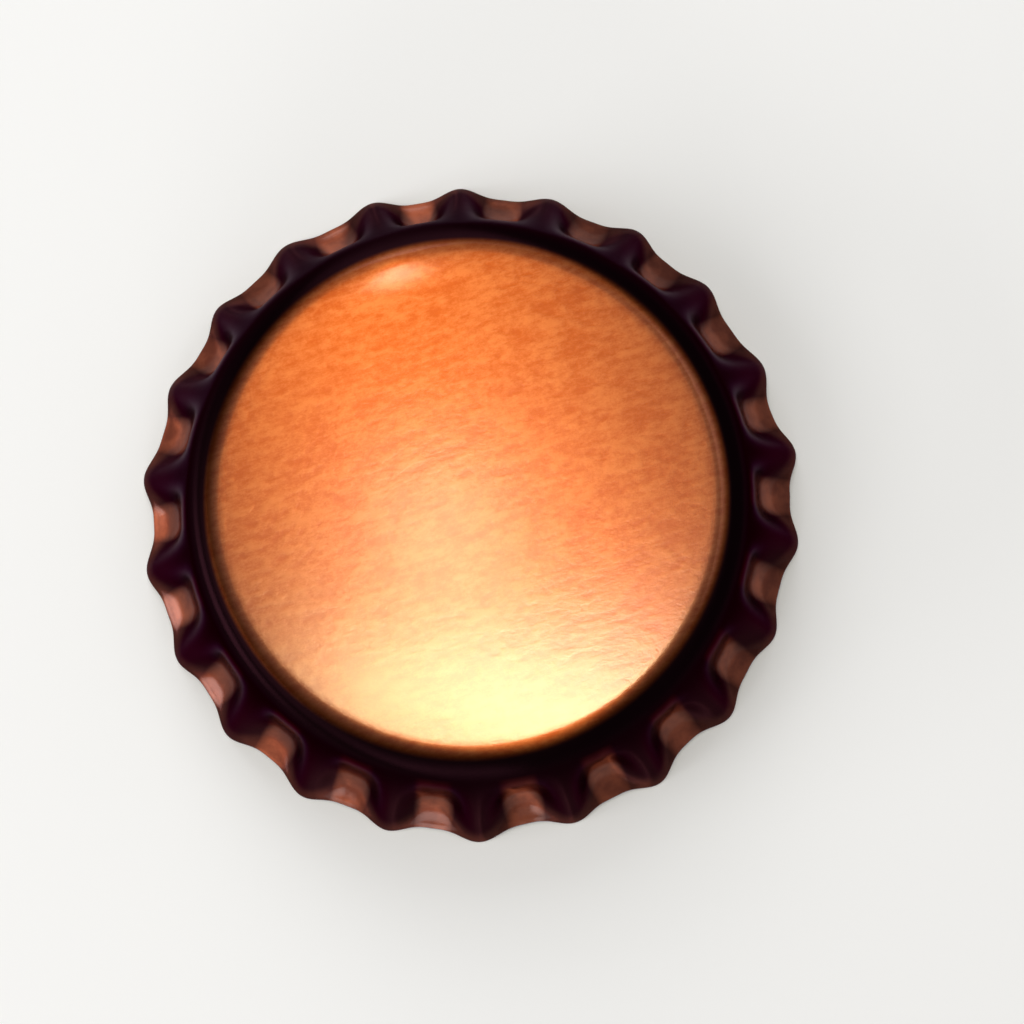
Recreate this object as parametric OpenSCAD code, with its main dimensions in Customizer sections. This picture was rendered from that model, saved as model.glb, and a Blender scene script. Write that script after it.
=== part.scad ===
// Pry-off bottle cap, as it leaves the press and before it is crimped on a bottle: a
// fluted shell drawn from one disc of sheet metal, and the soft sealing liner moulded
// inside it. All sizes are in millimetres. The axis is Z, the cap stands on its flute
// tips at Z = 0 with its panel up, and one tip points along +X.

/* [Shell] */
// Diameter over the flute tips at the open edge
tip_d = 32.1; // [31:0.1:33.5]
// Height from the flute tips to the top of the panel
cap_h = 6; // [5.5:0.1:7]
// Diameter of the body, where the shoulder arc would be if it turned straight down
body_d = 27.2; // [26.6:0.1:28]
// Outer radius of the shoulder between the panel and the skirt
shoulder_r = 1.9; // [1.5:0.1:2.4]
// Thickness of the sheet metal
sheet_t = 0.24; // [0.2:0.01:0.28]

/* [Flutes] */
// Number of flutes round the skirt
flute_count = 22; // [20:1:24]
// Depth of the valleys behind the tips at the open edge
edge_depth = 0.5; // [0.3:0.05:0.8]
// Further depth of the valleys two thirds of the way down the skirt
belly_depth = 0.9; // [0.6:0.05:1.1]
// Height of the open edge in the valleys above the open edge at the tips
edge_lift = 0.25; // [0.15:0.05:0.5]
// Sharpness of the ridges: 1 is a plain cosine wave, and more makes them narrower
ridge_sharpness = 1.7; // [1:0.1:2.4]

/* [Liner] */
// Thickness of the thin film inside the inner bead
film_t = 0.25; // [0.2:0.05:0.5]
// Thickness of the flat land that the lip of the bottle presses on
land_t = 0.6; // [0.5:0.05:0.8]
// Diameter of the inner bead's centre line
inner_bead_d = 20.8; // [20.2:0.1:21.4]
// Section radius of the inner bead
inner_bead_r = 0.45; // [0.35:0.05:0.55]
// Diameter of the outer bead's centre line
outer_bead_d = 24.6; // [24:0.1:25]
// Section radius of the outer bead
outer_bead_r = 0.6; // [0.4:0.05:0.7]
// Play between the liner's edge and the inside of the shoulder
liner_gap = 0.04; // [0.03:0.01:0.1]

/* [Hidden] */

$fn = 96;

// Samples round one flute, steps down the shoulder and steps down the skirt
flute_samples = 10;
shoulder_steps = 4;
skirt_steps = 7;
// How far the samples crowd towards the ridges, in degrees of the flutes' wave
crowding = 18;
// Width of the lofted rim of the panel, half of which the flat disc overlaps
panel_rim = 1;
// Step of the slopes that give the sheet's normal, in steps of v or in degrees
slope_step = 0.001;
// Share of its radius by which a bead's centre lies above the land
bead_sink = 1 / 6;

tip_r = tip_d / 2;
panel_r = body_d / 2 - shoulder_r;
shoulder_z = cap_h - shoulder_r;
panel_under_z = cap_h - sheet_t;

// Turn of the shoulder arc, measured from straight up, at which the straight line that
// ends at the tip's outer corner leaves it as a tangent
function turn_for(tip_z) =
    let (across = tip_r - panel_r, up = tip_z - shoulder_z)
    atan2(across, up) - acos(shoulder_r / norm([across, up]));

// The tip's inner corner rests on Z = 0, so its outer corner is one sheet thickness
// away along the sheet's normal. A few repeats settle the turn and that height.
function settle(turn, repeats) =
    repeats == 0 ? turn : settle(turn_for(sheet_t * cos(turn)), repeats - 1);

ridge_turn = settle(turn_for(0), 6);

function shoulder_point(turn) =
    [panel_r + shoulder_r * sin(turn), shoulder_z + shoulder_r * cos(turn)];

ridge_start = shoulder_point(ridge_turn);
ridge_end = [tip_r, sheet_t * cos(ridge_turn)];

// Outline of a ridge in radius and height. v is -1 where the lofted rings end inside the
// edge of the panel, 0 at that edge, 1 where the skirt leaves the shoulder and 2 at the
// open edge.
function ridge_outline(v) =
    v <= 0 ? [panel_r + v * panel_rim, cap_h] :
    v <= 1 ? shoulder_point(v * ridge_turn)
           : ridge_start + (v - 1) * (ridge_end - ridge_start);

// Depth of a valley behind the ridges, u being the share of the way down the skirt. The
// cubic term is 1 at its peak, two thirds of the way down.
function valley_depth(u) = belly_depth * 27 / 4 * u * u * (1 - u) + edge_depth * u * u;

// 0 on a ridge and 1 in the middle of a valley
function valley_share(angle) =
    1 - pow((1 + cos(flute_count * angle)) / 2, ridge_sharpness);

// Point on the outer face of the sheet
function outer_point(v, angle) =
    let (
        u = max(v - 1, 0),
        share = valley_share(angle),
        r = ridge_outline(v)[0] - share * valley_depth(u),
        z = ridge_outline(v)[1] + share * edge_lift * pow(u, 3)
    )
    [r * cos(angle), r * sin(angle), z];

// Normal of the outer face, from its slopes down the skirt and round it
function outer_normal(v, angle) =
    let (
        down = outer_point(v + slope_step, angle) - outer_point(v - slope_step, angle),
        round = outer_point(v, angle + slope_step) - outer_point(v, angle - slope_step),
        n = cross(down, round)
    )
    n / norm(n);

// Point on the inner face, one sheet thickness in along the normal
function inner_point(v, angle) =
    outer_point(v, angle) - sheet_t * outer_normal(v, angle);

// Angle of sample k, counted round the whole cap
function sample_angle(k) =
    let (wave = 360 * k / flute_samples)
    (wave - crowding * sin(wave)) / flute_count;

samples = flute_count * flute_samples;
stations = concat(
    [-1],
    [for (i = [0 : shoulder_steps]) i / shoulder_steps],
    [for (i = [1 : skirt_steps]) 1 + i / skirt_steps]
);

// Two triangles for each cell between ring a and ring b, both counted round by samples
function band(a, b) = [
    for (k = [0 : samples - 1], half = [0, 1])
        let (next = (k + 1) % samples)
        half == 0 ? [a + k, a + next, b + next] : [a + k, b + next, b + k]
];

// The pressed shell: a flat disc for the panel, and round it one closed loft whose rings
// go down the outer face and back up the inner one
module shell() {
    last = len(stations) - 1;
    outer_rings = [for (v = stations, k = [0 : samples - 1]) outer_point(v, sample_angle(k))];
    inner_rings = [
        for (i = [last : -1 : 0], k = [0 : samples - 1])
            inner_point(stations[i], sample_angle(k))
    ];
    ring_count = 2 * len(stations);
    walls = [
        for (i = [0 : ring_count - 1])
            each band(i * samples, (i + 1) % ring_count * samples)
    ];
    color("#D9824B") {
        polyhedron(concat(outer_rings, inner_rings), walls);
        translate([0, 0, panel_under_z]) cylinder(r = panel_r - panel_rim / 2, h = sheet_t);
    }
}

// Half section of the room under the panel and inside the shoulder, less the play
module room_section() {
    intersection() {
        union() {
            translate([0, shoulder_z]) square([panel_r, panel_under_z - shoulder_z]);
            translate([panel_r, shoulder_z]) circle(r = shoulder_r - sheet_t - liner_gap);
        }
        translate([0, shoulder_z]) square([body_d / 2, shoulder_r]);
    }
}

// Half section of a bead that stands out under the land
module bead_section(centre_d, bead_r) {
    translate([centre_d / 2, panel_under_z - land_t + bead_r * bead_sink])
        circle(r = bead_r);
}

// The moulded liner: a film, and a sealing land between two beads at its edge
module liner() {
    color("#E8E6DF")
        rotate_extrude()
            intersection() {
                room_section();
                union() {
                    translate([0, panel_under_z - film_t]) square([body_d / 2, film_t]);
                    translate([inner_bead_d / 2, panel_under_z - land_t])
                        square([(body_d - inner_bead_d) / 2, land_t]);
                    bead_section(inner_bead_d, inner_bead_r);
                    bead_section(outer_bead_d, outer_bead_r);
                }
            }
}

shell();
liner();
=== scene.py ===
"""A copper-coloured pry-off bottle cap before crimping: the fluted pressed shell and the
liner moulded inside it, on a pale floor. The axis is Z, and the cap stands on its tips."""
import math

import bpy
import numpy as np
from mathutils import Matrix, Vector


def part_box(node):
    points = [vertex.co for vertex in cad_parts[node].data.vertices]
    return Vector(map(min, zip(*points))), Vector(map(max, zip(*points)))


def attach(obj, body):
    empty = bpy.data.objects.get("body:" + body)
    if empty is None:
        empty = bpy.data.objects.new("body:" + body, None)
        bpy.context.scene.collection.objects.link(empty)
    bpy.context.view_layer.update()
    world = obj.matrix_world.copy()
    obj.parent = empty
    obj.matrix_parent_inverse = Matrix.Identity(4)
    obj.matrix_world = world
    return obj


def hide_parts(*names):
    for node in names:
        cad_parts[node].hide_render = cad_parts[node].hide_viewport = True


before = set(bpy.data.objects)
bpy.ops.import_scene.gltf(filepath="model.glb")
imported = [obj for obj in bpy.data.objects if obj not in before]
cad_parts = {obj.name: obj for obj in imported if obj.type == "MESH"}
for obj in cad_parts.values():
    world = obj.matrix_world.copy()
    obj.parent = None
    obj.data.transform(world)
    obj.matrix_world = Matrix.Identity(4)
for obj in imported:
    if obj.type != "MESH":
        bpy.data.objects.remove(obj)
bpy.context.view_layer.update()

MM = 0.001

# Driving sizes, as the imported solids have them
_, SHELL_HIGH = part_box("shell")
TIP_RADIUS = SHELL_HIGH[0]
CAP_HEIGHT = SHELL_HIGH[2]
BODY_RADIUS = 13.6 * MM
SHOULDER_RADIUS = 1.9 * MM
SHEET = 0.24 * MM
FLUTES = 22
EDGE_DEPTH = 0.5 * MM
BELLY_DEPTH = 0.9 * MM
EDGE_LIFT = 0.25 * MM
RIDGE_SHARPNESS = 1.7

# One over the most that x squared times (1 - x) comes to
BELLY_PEAK = 27 / 4

PANEL_RADIUS = BODY_RADIUS - SHOULDER_RADIUS
SHOULDER_Z = CAP_HEIGHT - SHOULDER_RADIUS
ROLLING_TURN = math.radians(8)

# The panel's dome, and the share of the panel's radius past its edge where it levels out
PANEL_SAG = 0.12 * MM
LEVEL_OUT = 0.15

# How far the flutes stray: their places in radians of phase, their depth as a share
PLACE_DRIFT = 0.22
DEPTH_DRIFT = 0.08

# Marks of handling: tips pushed in where a slow wave is under a level, and one shallow
# hump at the panel's edge
TIP_WEAR = 0.14 * MM
WEAR_LEVEL = 0.4
HUMP_ANGLE = math.radians(96)
HUMP_RADIUS = 11.7 * MM
HUMP_LONG = 2.2 * MM
HUMP_WIDE = 0.75 * MM
HUMP_HEIGHT = 0.09 * MM

# The liner moulded under the panel
LINER_TOP = CAP_HEIGHT - SHEET
FILM_Z = LINER_TOP - 0.25 * MM
LAND_Z = LINER_TOP - 0.6 * MM
INNER_BEAD = (10.4 * MM, 0.45 * MM)
OUTER_BEAD = (12.3 * MM, 0.6 * MM)
BEAD_SINK = 1 / 6
BEAD_FLANK = 8
LINER_ROOM = 0.04 * MM
ROOM_RADIUS = SHOULDER_RADIUS - SHEET - LINER_ROOM
FILLET = 0.14 * MM

# Fineness of the meshes
FLUTE_COLUMNS = 34
SHOULDER_RINGS = 15
SKIRT_RINGS = 31
EDGE_RINGS = 9
LINER_COLUMNS = 176
LINER_RINGS = 110


# ---------------------------------------------------------------- meshes


def settled_turn():
    """Turn of the shoulder arc where the straight ridge leaves it as a tangent, found by
    repeating: the ridge ends one sheet thickness above the floor along its normal."""
    turn = math.radians(60)
    for _ in range(8):
        across = TIP_RADIUS - PANEL_RADIUS
        up = SHEET * math.cos(turn) - SHOULDER_Z
        turn = math.atan2(across, up) - math.acos(SHOULDER_RADIUS / math.hypot(across, up))
    return turn


RIDGE_TURN = settled_turn()
RIDGE_START = (
    PANEL_RADIUS + SHOULDER_RADIUS * math.sin(RIDGE_TURN),
    SHOULDER_Z + SHOULDER_RADIUS * math.cos(RIDGE_TURN),
)
RIDGE_END = (TIP_RADIUS, SHEET * math.cos(RIDGE_TURN))
RIDGE_LENGTH = math.hypot(RIDGE_END[0] - RIDGE_START[0], RIDGE_END[1] - RIDGE_START[1])


def slow_wave(angle, seed, lowest=2, highest=9):
    """A smooth random wave round the cap between about -1 and 1: a sum of sines of
    angle times lowest to highest, with seeded heights and phases. The gain makes up for
    the sines, which hardly ever peak together."""
    gain = 1.8
    draw = np.random.default_rng(seed)
    total, room = 0 * angle, 0
    for turns in range(lowest, highest + 1):
        height, phase = draw.uniform(0.3, 1), draw.uniform(0, 2 * math.pi)
        total = total + height * np.sin(turns * angle + phase)
        room += height
    return total / room * gain


def valley_share(angle):
    """0 on a ridge and 1 in the middle of a valley: one minus a raised cosine to the
    power of the ridges' sharpness, its phase drifting a little from flute to flute."""
    phase = FLUTES * angle + PLACE_DRIFT * slow_wave(angle, 5)
    return 1 - ((1 + np.cos(phase)) / 2) ** RIDGE_SHARPNESS


def domed(radius, height):
    """The height with the panel's shallow dome. The sag grows as the square of the
    radius, levels out on the shoulder, and shrinks with the height down to nothing on
    the floor."""
    run = radius / PANEL_RADIUS
    inside = np.clip(run, 0, 1)
    over = np.clip(run - 1, 0, LEVEL_OUT)
    sag = PANEL_SAG * (inside**2 + 2 * over - over**2 / LEVEL_OUT)
    return height * (1 - sag / CAP_HEIGHT)


def outer_face(v, angle):
    """Points of the outer face. v runs from -1 in the middle of the panel to 0 at its
    edge, 1 where the skirt leaves the shoulder and 2 at the open edge. The panel is a
    shallow dome, the shoulder an arc, and the skirt a straight cone less the depth of
    the valleys, which is largest two thirds of the way down."""
    turn = np.clip(v, 0, 1) * RIDGE_TURN
    skirt = np.clip(v - 1, 0, None)
    share = valley_share(angle)
    radius = PANEL_RADIUS * (1 + np.clip(v, -1, 0)) + SHOULDER_RADIUS * np.sin(turn)
    height = SHOULDER_Z + SHOULDER_RADIUS * np.cos(turn)
    radius = radius + skirt * (RIDGE_END[0] - RIDGE_START[0])
    height = height + skirt * (RIDGE_END[1] - RIDGE_START[1])

    belly = BELLY_DEPTH * (1 + DEPTH_DRIFT * slow_wave(angle, 11))
    depth = belly * BELLY_PEAK * skirt**2 * (1 - skirt) + EDGE_DEPTH * skirt**2
    dented = np.clip(WEAR_LEVEL - slow_wave(angle, 8, 4, 17), 0, 1)
    radius = radius - share * depth - TIP_WEAR * skirt**2 * dented
    height = height + share * EDGE_LIFT * skirt**3

    round_off = (angle - HUMP_ANGLE + math.pi) % (2 * math.pi) - math.pi
    along = radius * round_off / HUMP_LONG
    across = (radius - HUMP_RADIUS) / HUMP_WIDE
    hump = np.exp(-(along**2) - across**2)
    height = domed(radius, height) + HUMP_HEIGHT * hump
    return np.stack([radius * np.cos(angle), radius * np.sin(angle), height], axis=-1)


def outer_normal(v, angle):
    """Unit normals of the outer face, from central differences along v and angle."""
    step = 1e-4
    down = outer_face(v + step, angle) - outer_face(v - step, angle)
    about = outer_face(v, angle + step) - outer_face(v, angle - step)
    normal = np.cross(down, about)
    return normal / np.linalg.norm(normal, axis=-1, keepdims=True)


def closed_mesh(name, rings, poles, numbers, materials, row_material):
    """A closed mesh from rings of points, each ring joined to the next by quads and the
    first and last to the two poles by triangles. rings is (rows, columns, 3). numbers
    holds a value per ring point and pole for each named attribute."""
    rows, columns = rings.shape[:2]
    points = np.concatenate([rings.reshape(-1, 3), np.array(poles)])
    here = np.arange(columns)
    beside = (here + 1) % columns
    start = np.arange(rows - 1)[:, None] * columns
    quads = np.stack(
        [start + here, start + columns + here, start + columns + beside, start + beside],
        axis=-1,
    ).reshape(-1, 4)
    first = np.full(columns, rows * columns)
    last_row = (rows - 1) * columns
    caps = np.concatenate(
        [
            np.stack([first, here, beside], axis=-1),
            np.stack([first + 1, last_row + beside, last_row + here], axis=-1),
        ]
    )
    mesh = bpy.data.meshes.new(name)
    mesh.vertices.add(len(points))
    mesh.vertices.foreach_set("co", points.astype(np.float32).ravel())
    mesh.loops.add(quads.size + caps.size)
    mesh.loops.foreach_set(
        "vertex_index", np.concatenate([quads.ravel(), caps.ravel()]).astype(np.int32)
    )
    mesh.polygons.add(len(quads) + len(caps))
    starts = np.concatenate(
        [4 * np.arange(len(quads)), quads.size + 3 * np.arange(len(caps))]
    )
    mesh.polygons.foreach_set("loop_start", starts.astype(np.int32))
    which = np.concatenate(
        [
            np.repeat(row_material, columns),
            np.full(columns, row_material[0]),
            np.full(columns, row_material[-1]),
        ]
    )
    mesh.polygons.foreach_set("material_index", which.astype(np.int32))
    mesh.update(calc_edges=True)
    mesh.shade_smooth()
    for label, values in numbers.items():
        layer = mesh.attributes.new(label, "FLOAT", "POINT")
        layer.data.foreach_set("value", values.astype(np.float32))
    for material in materials:
        mesh.materials.append(material)
    mesh.validate()
    piece = bpy.data.objects.new(name, mesh)
    bpy.context.collection.objects.link(piece)
    return piece


def make_shell(materials):
    """The pressed shell. Rings run down the outer face, round the cut edge as a half
    ellipse across the sheet, and back up the inner face, which lies one sheet thickness
    in along the normals."""
    columns = FLUTES * FLUTE_COLUMNS
    angle = np.arange(columns) * 2 * math.pi / columns
    bulge = SHEET / 4
    v_end = 2 - bulge / RIDGE_LENGTH
    panel = -1 + np.array([0.2, 0.4, 0.58, 0.7, 0.79, 0.86, 0.91, 0.95, 0.98, 1])
    shoulder = np.linspace(0, 1, SHOULDER_RINGS)[1:]
    skirt = 1 + (v_end - 1) * np.linspace(0, 1, SKIRT_RINGS)[1:]
    down = np.concatenate([panel, shoulder, skirt])
    up = np.concatenate([skirt[::-1][1::2], shoulder[::-1][::2], [0, -0.3, -0.7]])

    outer = outer_face(down[:, None], angle[None, :])
    inner = outer_face(up[:, None], angle[None, :])
    inner = inner - SHEET * outer_normal(up[:, None], angle[None, :])

    end = np.full((1, columns), v_end)
    normal = outer_normal(end, angle[None, :])
    step = 1e-3
    onward = outer_face(end, angle[None, :]) - outer_face(end - step, angle[None, :])
    onward = onward / np.linalg.norm(onward, axis=-1, keepdims=True)
    middle = outer_face(end, angle[None, :]) - SHEET / 2 * normal
    sweep = np.linspace(0, math.pi, EDGE_RINGS)[1:, None, None]
    edge = middle + SHEET / 2 * np.cos(sweep) * normal + bulge * np.sin(sweep) * onward

    rings = np.concatenate([outer, edge, inner])
    drop = np.concatenate([down, np.full(len(edge), v_end), up])
    drop = np.broadcast_to(drop[:, None], rings.shape[:2])
    share = np.broadcast_to(valley_share(angle), rings.shape[:2])
    numbers = {
        "drop": np.append(drop.ravel(), [-1, -1]),
        "valley": np.append(share.ravel(), [0, 0]),
    }
    row_material = np.repeat([0, 1, 2], [len(down) - 1, len(edge), len(up)])
    poles = [(0, 0, CAP_HEIGHT), (0, 0, CAP_HEIGHT - SHEET)]
    return closed_mesh("cap_shell", rings, poles, numbers, materials, row_material)


def soft_lower(first, second):
    """The lower of two heights, joined by a fillet where they cross: their mean less half
    the root of their difference squared plus the fillet's size squared."""
    return (first + second - np.sqrt((first - second) ** 2 + FILLET**2)) / 2 + FILLET / 8


def bead_height(radius, centre, size):
    """Underside of a round bead: a circle's lower half, and steep flanks past its sides."""
    off = np.abs(radius - centre)
    arc = np.sqrt(np.clip(size**2 - off**2, 0, None))
    return LAND_Z + BEAD_SINK * size - arc + BEAD_FLANK * np.clip(off - size, 0, None)


def liner_underside(radius):
    """The film in the middle, stepped down by a smooth step to the land under the inner
    bead, and the two beads laid over it with fillets."""
    share = np.clip((radius - INNER_BEAD[0]) / INNER_BEAD[1] + 0.5, 0, 1)
    height = FILM_Z + (LAND_Z - FILM_Z) * share**2 * (3 - 2 * share)
    for centre, size in (INNER_BEAD, OUTER_BEAD):
        height = soft_lower(height, bead_height(radius, centre, size))
    return height


def make_liner(material):
    """The moulded liner, turned about Z. Rings run out along its top, down the round
    shoulder of the room that it fills, and back in along the underside, closer together
    where that is steep."""
    samples, first = 6000, 0.2 * MM
    fine = np.linspace(first, PANEL_RADIUS + ROOM_RADIUS, samples)
    under = liner_underside(fine)
    room = SHOULDER_Z + np.sqrt(
        np.clip(ROOM_RADIUS**2 - np.clip(fine - PANEL_RADIUS, 0, None) ** 2, 0, None)
    )
    kept = under < room
    fine, under = fine[kept], under[kept]
    level_weight, steepest = 0.12, 4
    steepness = np.minimum(np.abs(np.gradient(under, fine)), steepest)
    crowd = np.cumsum(level_weight + steepness)
    picked = np.interp(np.linspace(crowd[0], crowd[-1], LINER_RINGS), crowd, fine)[::-1]

    last_turn = math.asin((fine[-1] - PANEL_RADIUS) / ROOM_RADIUS)
    turn = np.linspace(0, last_turn, 9)[:-1]
    flat = PANEL_RADIUS * np.array([0.3, 0.7, 0.9])
    radius = np.concatenate([flat, PANEL_RADIUS + ROOM_RADIUS * np.sin(turn), picked])
    height = np.concatenate(
        [
            np.full(len(flat), LINER_TOP),
            SHOULDER_Z + ROOM_RADIUS * np.cos(turn),
            liner_underside(picked),
        ]
    )
    height = domed(radius, height)
    angle = np.arange(LINER_COLUMNS) * 2 * math.pi / LINER_COLUMNS
    rings = np.stack(
        [
            radius[:, None] * np.cos(angle),
            radius[:, None] * np.sin(angle),
            np.repeat(height[:, None], len(angle), axis=1),
        ],
        axis=-1,
    )
    poles = [(0, 0, LINER_TOP), (0, 0, FILM_Z)]
    row_material = np.zeros(len(radius) - 1, int)
    return closed_mesh("cap_liner", rings, poles, {}, [material], row_material)


# ---------------------------------------------------------------- materials


class Nodes:
    """Short calls for a material's node tree."""

    def __init__(self, tree):
        self.tree = tree

    def add(self, kind, **values):
        made = self.tree.nodes.new(kind)
        for label, value in values.items():
            setattr(made, label, value)
        return made

    def put(self, socket, value):
        """Link the socket to another one, or set it to a plain value."""
        if isinstance(value, bpy.types.NodeSocket):
            self.tree.links.new(value, socket)
        else:
            socket.default_value = value

    def attribute(self, name):
        return self.add("ShaderNodeAttribute", attribute_name=name).outputs["Fac"]

    def sums(self, operation, *values):
        """The values added, multiplied or compared, as the operation says."""
        made = self.add("ShaderNodeMath", operation=operation)
        for socket, value in zip(made.inputs, values):
            self.put(socket, value)
        return made.outputs[0]

    def ramp(self, value, low, high, bottom=0.0, top=1.0):
        """value from low to high becomes bottom to top, smoothly and clamped."""
        made = self.add("ShaderNodeMapRange", interpolation_type="SMOOTHSTEP")
        for socket, put in zip(made.inputs, (value, low, high, bottom, top)):
            self.put(socket, put)
        return made.outputs[0]

    def mix(self, share, first, second):
        """first where share is 0, second where it is 1."""
        made = self.add("ShaderNodeMix", data_type="RGBA", blend_type="MIX")
        self.put(made.inputs["Factor"], share)
        colour_in = [socket for socket in made.inputs if socket.type == "RGBA"]
        colour_out = [socket for socket in made.outputs if socket.type == "RGBA"]
        self.put(colour_in[0], first)
        self.put(colour_in[1], second)
        return colour_out[0]

    def place(self, turn=0.0, scale=(1, 1, 1)):
        """Object coordinates, turned about Z and stretched."""
        coordinates = self.add("ShaderNodeTexCoord").outputs["Object"]
        turned = self.add("ShaderNodeMapping", vector_type="POINT")
        self.put(turned.inputs["Vector"], coordinates)
        turned.inputs["Rotation"].default_value = (0, 0, -turn)
        stretched = self.add("ShaderNodeMapping", vector_type="POINT")
        self.put(stretched.inputs["Vector"], turned.outputs[0])
        stretched.inputs["Scale"].default_value = scale
        return stretched.outputs[0]

    def noise(self, where, scale, detail=2.0, rough=0.5):
        made = self.add("ShaderNodeTexNoise")
        self.put(made.inputs["Vector"], where)
        made.inputs["Scale"].default_value = scale
        made.inputs["Detail"].default_value = detail
        made.inputs["Roughness"].default_value = rough
        return made.outputs["Fac"]

    def bump(self, height, distance):
        made = self.add("ShaderNodeBump")
        made.inputs["Strength"].default_value = 1
        made.inputs["Distance"].default_value = distance
        self.put(made.inputs["Height"], height)
        return made.outputs["Normal"]


def new_material(name):
    """A material with one Principled shader, its node helper and that shader's sockets."""
    material = bpy.data.materials.new(name)
    material.use_nodes = True
    shader = material.node_tree.nodes["Principled BSDF"]
    return material, Nodes(material.node_tree), shader.inputs


def rgb(red, green, blue):
    return (red, green, blue, 1)


def copper_lacquer():
    """Copper-coloured lacquer over rolled tinplate. The panel is copper with fine rolling
    lines and soft mottling, under a clear coat. The shoulder and ridges carry painted
    shade: a near-black maroon, a little lighter down the ridges, standing in for dark
    surroundings mirrored there. The flares of the valleys are left out of the painted
    shade as a dimmer brown copper, glossy at their ends. A thin painted highlight of
    that brown runs along the open edge."""
    material, tree, shader = new_material("copper_lacquer")
    drop, valley = tree.attribute("drop"), tree.attribute("valley")

    lines = tree.noise(tree.place(ROLLING_TURN, (1, 5, 1)), 480, 3, 0.65)
    grain = tree.noise(tree.place(ROLLING_TURN, (1, 1.5, 1)), 1900, 3, 0.8)
    clouds = tree.noise(tree.place(ROLLING_TURN, (1, 1.7, 1)), 620, 2, 0.6)
    blotches = tree.noise(tree.place(), 700, 3, 0.6)

    speckle = tree.sums("ADD", tree.sums("MULTIPLY", grain, 0.45), tree.sums("MULTIPLY", lines, 0.35))
    speckle = tree.sums("ADD", speckle, tree.sums("MULTIPLY", clouds, 0.2))
    copper = tree.mix(tree.ramp(speckle, 0.38, 0.62), rgb(0.385, 0.064, 0.000), rgb(0.500, 0.124, 0.021))
    # Painted shade: near-black maroon for the shoulder, and a lighter ridge colour low on the skirt; the
    # valley flares keep a dimmer brown copper
    maroon = rgb(0.0065, 0.0018, 0.0028)
    ridge = rgb(0.026, 0.0075, 0.0090)
    brown = tree.mix(tree.ramp(blotches, 0.35, 0.65), rgb(0.17, 0.037, 0.016), rgb(0.28, 0.069, 0.030))

    # Painted shade: from just inside the panel's edge over the shoulder the copper turns to near-black
    # maroon, then to the lighter ridge colour lower on the skirt
    shade = tree.ramp(drop, -0.12, 0.41)
    low = tree.ramp(drop, 1.0, 1.7)
    valley_flare = tree.sums("MULTIPLY", tree.ramp(valley, 0.70, 1.05), tree.ramp(drop, 0.95, 1.5))
    # A thin painted highlight: a quarter of the brown along the open edge
    flare = tree.sums("MAXIMUM", valley_flare, tree.ramp(drop, 1.8, 2.0, 0, 0.25))
    outside = tree.mix(shade, copper, tree.mix(low, maroon, ridge))
    tree.put(shader["Base Color"], tree.mix(flare, outside, brown))
    shader["Metallic"].default_value = 1

    rough = tree.ramp(lines, 0.3, 0.7, 0.305, 0.325)
    tree.put(shader["Roughness"], tree.sums("ADD", rough, tree.sums("MULTIPLY", low, 0.12)))

    # The shine spreads across the rolling lines
    shader["Anisotropic"].default_value = 0.88
    across = tree.add("ShaderNodeCombineXYZ")
    across.inputs["X"].default_value = -math.sin(ROLLING_TURN)
    across.inputs["Y"].default_value = math.cos(ROLLING_TURN)
    tree.put(shader["Tangent"], across.outputs[0])

    # Past the panel a darker edge tint keeps the painted shade dark at a slant too, and the clear coat
    # ends
    tree.put(shader["Specular Tint"], tree.mix(shade, rgb(1, 1, 1), rgb(0.50, 0.43, 0.48)))
    glossy_flare = tree.sums("MULTIPLY", flare, tree.ramp(drop, 1.3, 1.8, 0, 0.35))
    clear = tree.sums("MAXIMUM", tree.ramp(drop, -0.02, 0.30, 1, 0), glossy_flare)
    tree.put(shader["Coat Weight"], clear)
    shader["Coat Roughness"].default_value = 0.16
    shader["Coat IOR"].default_value = 1.6

    relief = tree.bump(speckle, 0.008 * MM)
    tree.put(shader["Normal"], relief)
    tree.put(shader["Coat Normal"], relief)
    return material


def bare_edge():
    """The cut edge of the sheet: bare steel with a fine grain."""
    material, tree, shader = new_material("cut_steel_edge")
    grain = tree.noise(tree.place(), 2500, 2, 0.5)
    tree.put(shader["Base Color"], tree.mix(grain, rgb(0.16, 0.11, 0.10), rgb(0.30, 0.22, 0.20)))
    shader["Metallic"].default_value = 1
    tree.put(shader["Roughness"], tree.ramp(grain, 0.3, 0.7, 0.35, 0.5))
    tree.put(shader["Normal"], tree.bump(grain, 0.01 * MM))
    return material


def inner_varnish():
    """The clear gold varnish over tin on the inside of the shell."""
    material, tree, shader = new_material("inner_gold_varnish")
    lines = tree.noise(tree.place(ROLLING_TURN, (1, 14, 1)), 160, 3, 0.6)
    clouds = tree.noise(tree.place(), 200, 2, 0.5)
    gold = tree.mix(clouds, rgb(0.62, 0.47, 0.27), rgb(0.72, 0.56, 0.34))
    tree.put(shader["Base Color"], gold)
    shader["Metallic"].default_value = 1
    tree.put(shader["Roughness"], tree.ramp(lines, 0.3, 0.7, 0.26, 0.38))
    tree.put(shader["Normal"], tree.bump(lines, 0.004 * MM))
    return material


def liner_compound():
    """The moulded sealing compound: off-white and dull, with faint clouds in it."""
    material, tree, shader = new_material("sealing_compound")
    clouds = tree.noise(tree.place(), 250, 2, 0.5)
    grain = tree.noise(tree.place(), 3000, 2, 0.6)
    tree.put(shader["Base Color"], tree.mix(clouds, rgb(0.72, 0.70, 0.64), rgb(0.78, 0.77, 0.72)))
    tree.put(shader["Roughness"], tree.ramp(grain, 0.3, 0.7, 0.38, 0.5))
    tree.put(shader["Normal"], tree.bump(grain, 0.01 * MM))
    return material


def pale_floor():
    """Plain matte floor."""
    material, _, shader = new_material("pale_floor")
    shader["Base Color"].default_value = rgb(0.90, 0.90, 0.90)
    shader["Roughness"].default_value = 0.9
    shader["Specular IOR Level"].default_value = 0.1
    return material


# ---------------------------------------------------------------- stage


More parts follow.
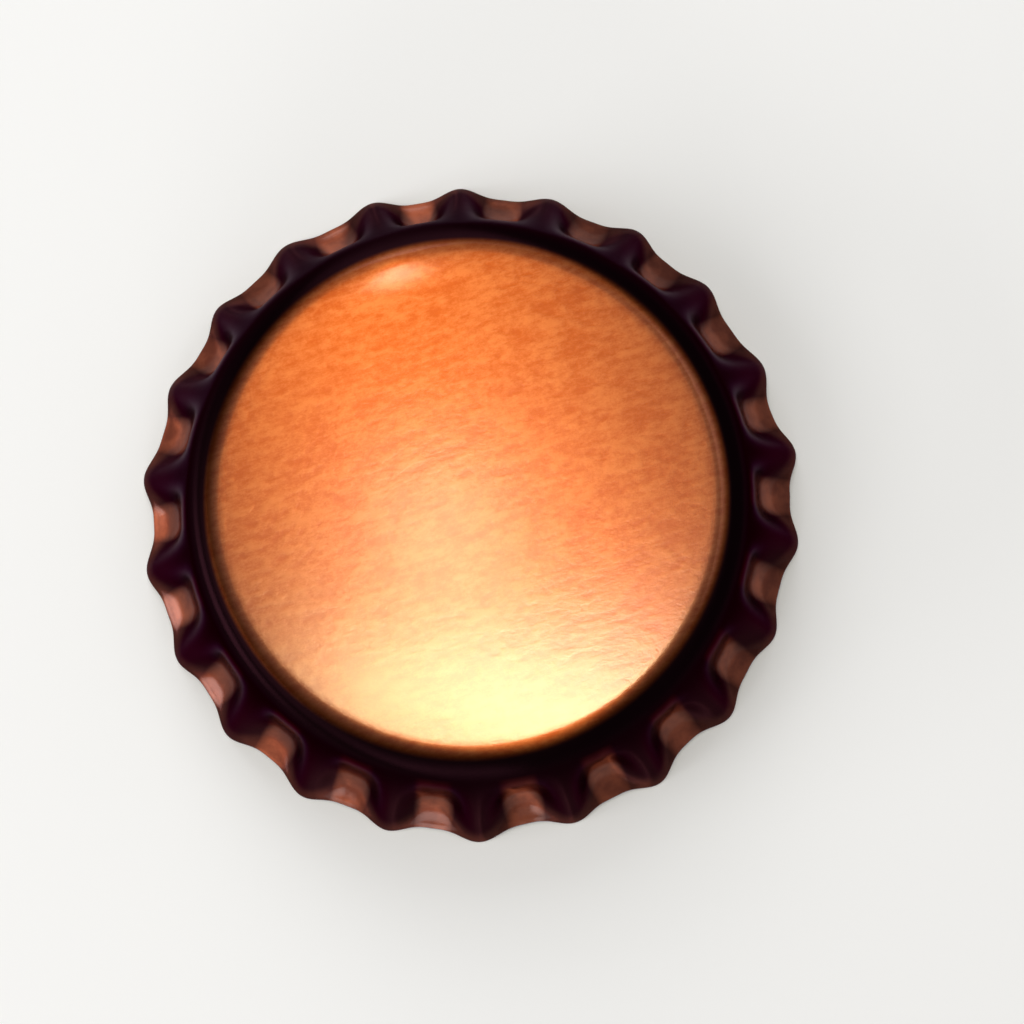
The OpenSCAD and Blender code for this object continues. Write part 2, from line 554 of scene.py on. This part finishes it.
def make_floor():
    mesh = bpy.data.meshes.new("floor")
    reach = 4.0
    corners = [(-reach, -reach, 0), (reach, -reach, 0), (reach, reach, 0), (-reach, reach, 0)]
    mesh.from_pydata(corners, [], [(0, 1, 2, 3)])
    mesh.materials.append(pale_floor())
    floor = bpy.data.objects.new("floor", mesh)
    bpy.context.collection.objects.link(floor)


def direction(azimuth, elevation):
    """Unit vector from the cap. Azimuth 0 is -Y and 90 is +X."""
    about, rise = math.radians(azimuth), math.radians(elevation)
    level = math.cos(rise)
    return np.array([math.sin(about) * level, -math.cos(about) * level, math.sin(rise)])


def facing(azimuth, elevation, roll):
    """Right, up and back vectors of a thing that looks at the cap from that direction,
    rolled clockwise as it sees the cap turn."""
    back = direction(azimuth, elevation)
    right = np.cross(-back, (0, 0, 1))
    right = right / np.linalg.norm(right)
    up = np.cross(right, -back)
    cosine, sine = math.cos(math.radians(roll)), math.sin(math.radians(roll))
    return right * cosine - up * sine, right * sine + up * cosine, back


def stand(thing, axes, place):
    """Put a lamp or camera in the scene, turned so that its own axes are the given ones."""
    thing.rotation_mode = "QUATERNION"
    thing.rotation_quaternion = Matrix(np.array(axes).T.tolist()).to_quaternion()
    thing.location = place
    bpy.context.collection.objects.link(thing)


def softbox(name, azimuth, elevation, distance, wide, high, radiance, roll=0, warmth=0):
    """A rectangular lamp that faces the cap. Its power is its radiance times pi times its
    area, so radiance is how bright it looks in a mirror. Warmth takes blue out of it, and a
    little green."""
    data = bpy.data.lights.new(name, "AREA")
    data.shape = "RECTANGLE"
    data.size, data.size_y = wide, high
    data.energy = radiance * math.pi * wide * high
    data.color = (1, 1 - 0.15 * warmth, 1 - warmth)
    axes = facing(azimuth, elevation, roll)
    stand(bpy.data.objects.new(name, data), axes, axes[2] * distance)


def make_world():
    world = bpy.data.worlds.new("studio")
    world.use_nodes = True
    background = world.node_tree.nodes["Background"]
    background.inputs["Color"].default_value = rgb(0.31, 0.31, 0.34)
    background.inputs["Strength"].default_value = 1.0
    bpy.context.scene.world = world


def make_camera():
    """The camera looks down on the cap from 83 degrees, rolled 11 degrees, with the cap a
    little left of the middle."""
    data = bpy.data.cameras.new("camera")
    data.lens = 135
    data.sensor_width = 36
    data.clip_start = 0.01
    data.clip_end = 20
    camera = bpy.data.objects.new("camera", data)
    away, aside = 186.5 * MM, 2.0 * MM
    axes = facing(0.6, 82.9, 10.9)
    stand(camera, axes, axes[2] * away + axes[0] * aside)
    bpy.context.scene.camera = camera


make_camera()
shell = make_shell([copper_lacquer(), bare_edge(), inner_varnish()])
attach(shell, "root")
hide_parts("shell")

liner = make_liner(liner_compound())
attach(liner, "root")
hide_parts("liner")

make_floor()
make_world()

# Four small lamps overhead that the panel mirrors, then six wide ones for the skirt:
# name, azimuth, elevation, distance, wide, high, radiance, roll and warmth
softbox("key", 0, 89.4, 0.30, 0.072, 0.012, 37.6, 24, 0.5)
softbox("core", 140, 88.4, 0.30, 0.040, 0.006, 21.0, 152)
softbox("glow", 72, 86.8, 0.30, 0.024, 0.012, 6.8, 96, 0.3)
softbox("strip", 194, 83.3, 0.30, 0.018, 0.020, 14.7, 194, 0.3)
softbox("left", -80, 40, 0.34, 0.22, 0.12, 3.0)
softbox("far", 185, 22, 0.34, 0.22, 0.12, 3.2)
softbox("back", 178, 40, 0.34, 0.22, 0.12, 2.7)
softbox("near", -18, 16, 0.34, 0.20, 0.09, 4.8)
softbox("side", -84, 15, 0.34, 0.20, 0.09, 6.8)
softbox("right", 100, 55, 0.34, 0.22, 0.15, 1.1)

bpy.context.scene.view_settings.view_transform = "Standard"
